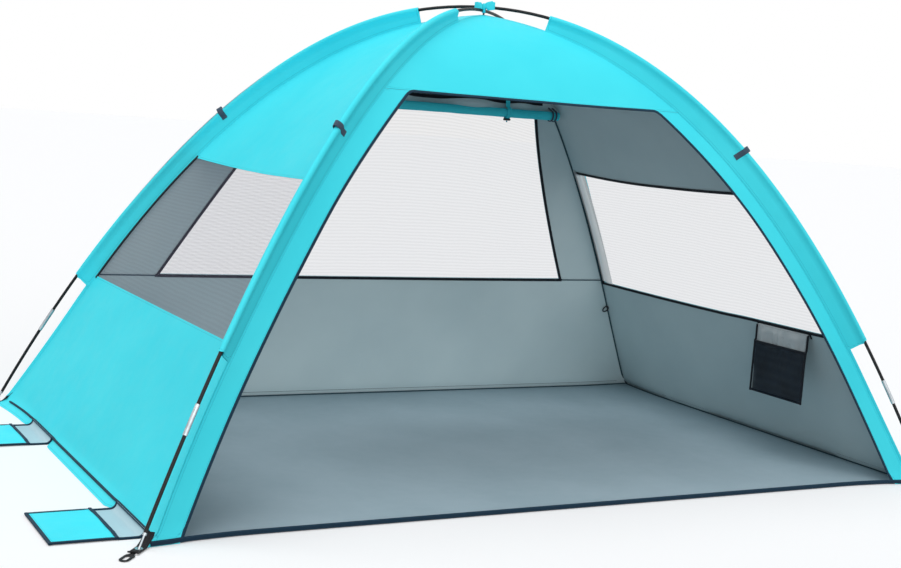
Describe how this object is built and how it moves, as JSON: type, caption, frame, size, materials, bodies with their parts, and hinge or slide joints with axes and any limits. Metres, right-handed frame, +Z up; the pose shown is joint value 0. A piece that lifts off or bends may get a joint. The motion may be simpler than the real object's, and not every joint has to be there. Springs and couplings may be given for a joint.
{
  "type": "dome beach shelter",
  "caption": "Open-fronted dome beach shelter: coated cloth on crossed sleeved poles, with mesh windows, a sewn-in floor, sand pockets and a rolled rear window cover.",
  "frame": {"origin": "on the ground, under the canopy's peak at the middle of the floor", "axes": "+X right as seen from the open front, +Y towards the rear wall, +Z up"},
  "size_m": [2.8492, 1.7404, 1.3774],
  "materials": {
    "canopy_cloth": "coated polyester, satin",
    "floor_cloth": "woven polyethylene, matt",
    "pale_cloth": "silver-coated polyester, satin",
    "window_mesh": "fine see-through mesh",
    "dark_mesh": "fine dark mesh",
    "navy_tape": "woven binding tape",
    "black_tape": "woven binding tape",
    "black_webbing": "woven webbing",
    "grey_webbing": "woven webbing",
    "fibreglass": "pultruded glass fibre, semi-gloss",
    "steel": "plated steel",
    "elastic": "covered elastic cord",
    "elastic_black": "covered elastic cord",
    "black_plastic": "moulded, matt"
  },
  "bodies": {
    "shelter": {"front_header": "canopy_cloth", "front_left_strip": "canopy_cloth", "front_right_strip": "canopy_cloth", "left_upper_panel": "canopy_cloth", "left_window_mesh": "window_mesh", "left_lower_panel": "canopy_cloth", "right_upper_panel": "canopy_cloth", "right_window_mesh": "window_mesh", "right_lower_panel": "canopy_cloth", "rear_upper_panel": "canopy_cloth", "rear_window_mesh": "window_mesh", "rear_left_strip": "canopy_cloth", "rear_right_strip": "canopy_cloth", "rear_lower_panel": "canopy_cloth", "floor_sheet": "floor_cloth", "opening_tape": "navy_tape", "left_window_tape": "black_tape", "right_window_tape": "black_tape", "rear_window_tape": "black_tape", "sill_tape": "navy_tape", "hem_piping": "navy_tape", "front_left_sleeve": "canopy_cloth", "front_right_sleeve": "canopy_cloth", "rear_left_sleeve": "canopy_cloth", "rear_right_sleeve": "canopy_cloth", "lower_pole_rods": "fibreglass", "upper_pole_rods": "fibreglass", "pole_ferrules": "steel", "pole_cords": "elastic", "foot_tips": "steel", "corner_straps": "black_webbing", "corner_eyelets": "steel", "hub_tie": "canopy_cloth", "guy_loops": "grey_webbing", "corner_loops": "elastic_black", "window_cover_roll": "canopy_cloth", "roll_ties": "canopy_cloth"},
    "front_left_sand_pocket": {"front_left_sand_base": "pale_cloth", "front_left_sand_cover": "canopy_cloth", "front_left_sand_tape": "navy_tape"},
    "front_right_sand_pocket": {"front_right_sand_base": "pale_cloth", "front_right_sand_cover": "canopy_cloth", "front_right_sand_tape": "navy_tape"},
    "rear_left_sand_pocket": {"rear_left_sand_base": "pale_cloth", "rear_left_sand_cover": "canopy_cloth", "rear_left_sand_tape": "navy_tape"},
    "rear_right_sand_pocket": {"rear_right_sand_base": "pale_cloth", "rear_right_sand_cover": "canopy_cloth", "rear_right_sand_tape": "navy_tape"},
    "front_left_stake_tab": {"front_left_stake_loop": "black_webbing"},
    "front_right_stake_tab": {"front_right_stake_loop": "black_webbing"},
    "rear_left_stake_tab": {"rear_left_stake_loop": "black_webbing"},
    "rear_right_stake_tab": {"rear_right_stake_loop": "black_webbing"},
    "hanging_pocket": {"hanging_pocket_back": "pale_cloth", "hanging_pocket_mesh": "dark_mesh", "hanging_pocket_tape": "black_tape"},
    "left_toggle_body": {"left_toggle": "black_plastic"},
    "right_toggle_body": {"right_toggle": "black_plastic"}
  },
  "joints": [
    {"name": "front_left_sand_pocket_fold", "type": "hinge", "parent": "shelter", "child": "front_left_sand_pocket", "pos_m": [-1.19662, -0.59, 0.018], "axis": [0, 1, 0], "range_deg": [0, 110]},
    {"name": "front_right_sand_pocket_fold", "type": "hinge", "parent": "shelter", "child": "front_right_sand_pocket", "pos_m": [1.19662, -0.59, 0.018], "axis": [0, -1, 0], "range_deg": [0, 110]},
    {"name": "rear_left_sand_pocket_fold", "type": "hinge", "parent": "shelter", "child": "rear_left_sand_pocket", "pos_m": [-1.19662, 0.335, 0.018], "axis": [0, 1, 0], "range_deg": [0, 110]},
    {"name": "rear_right_sand_pocket_fold", "type": "hinge", "parent": "shelter", "child": "rear_right_sand_pocket", "pos_m": [1.19662, 0.335, 0.018], "axis": [0, -1, 0], "range_deg": [0, 110]},
    {"name": "front_left_stake_loop_fold", "type": "hinge", "parent": "shelter", "child": "front_left_stake_tab", "pos_m": [-1.26179, -0.82306, 0.0048], "axis": [-0.7635, 0.6458, 0], "range_deg": [0, 100]},
    {"name": "front_right_stake_loop_fold", "type": "hinge", "parent": "shelter", "child": "front_right_stake_tab", "pos_m": [1.26179, -0.82306, 0.0048], "axis": [-0.7635, -0.6458, 0], "range_deg": [0, 100]},
    {"name": "rear_left_stake_loop_fold", "type": "hinge", "parent": "shelter", "child": "rear_left_stake_tab", "pos_m": [-1.26179, 0.82306, 0.0048], "axis": [0.7635, 0.6458, 0], "range_deg": [0, 100]},
    {"name": "rear_right_stake_loop_fold", "type": "hinge", "parent": "shelter", "child": "rear_right_stake_tab", "pos_m": [1.26179, 0.82306, 0.0048], "axis": [0.7635, -0.6458, 0], "range_deg": [0, 100]},
    {"name": "hanging_pocket_swing", "type": "hinge", "parent": "shelter", "child": "hanging_pocket", "pos_m": [0.98183, -0.379, 0.416], "axis": [0, 1, 0], "range_deg": [-28, 70]},
    {"name": "left_toggle_turn", "type": "hinge", "parent": "shelter", "child": "left_toggle_body", "pos_m": [-0.3, 0.31583, 1.0243], "axis": [0, 0, 1], "range_deg": [-90, 90]},
    {"name": "right_toggle_turn", "type": "hinge", "parent": "shelter", "child": "right_toggle_body", "pos_m": [0.3, 0.31583, 1.0243], "axis": [0, 0, 1], "range_deg": [-90, 90]}
  ]
}
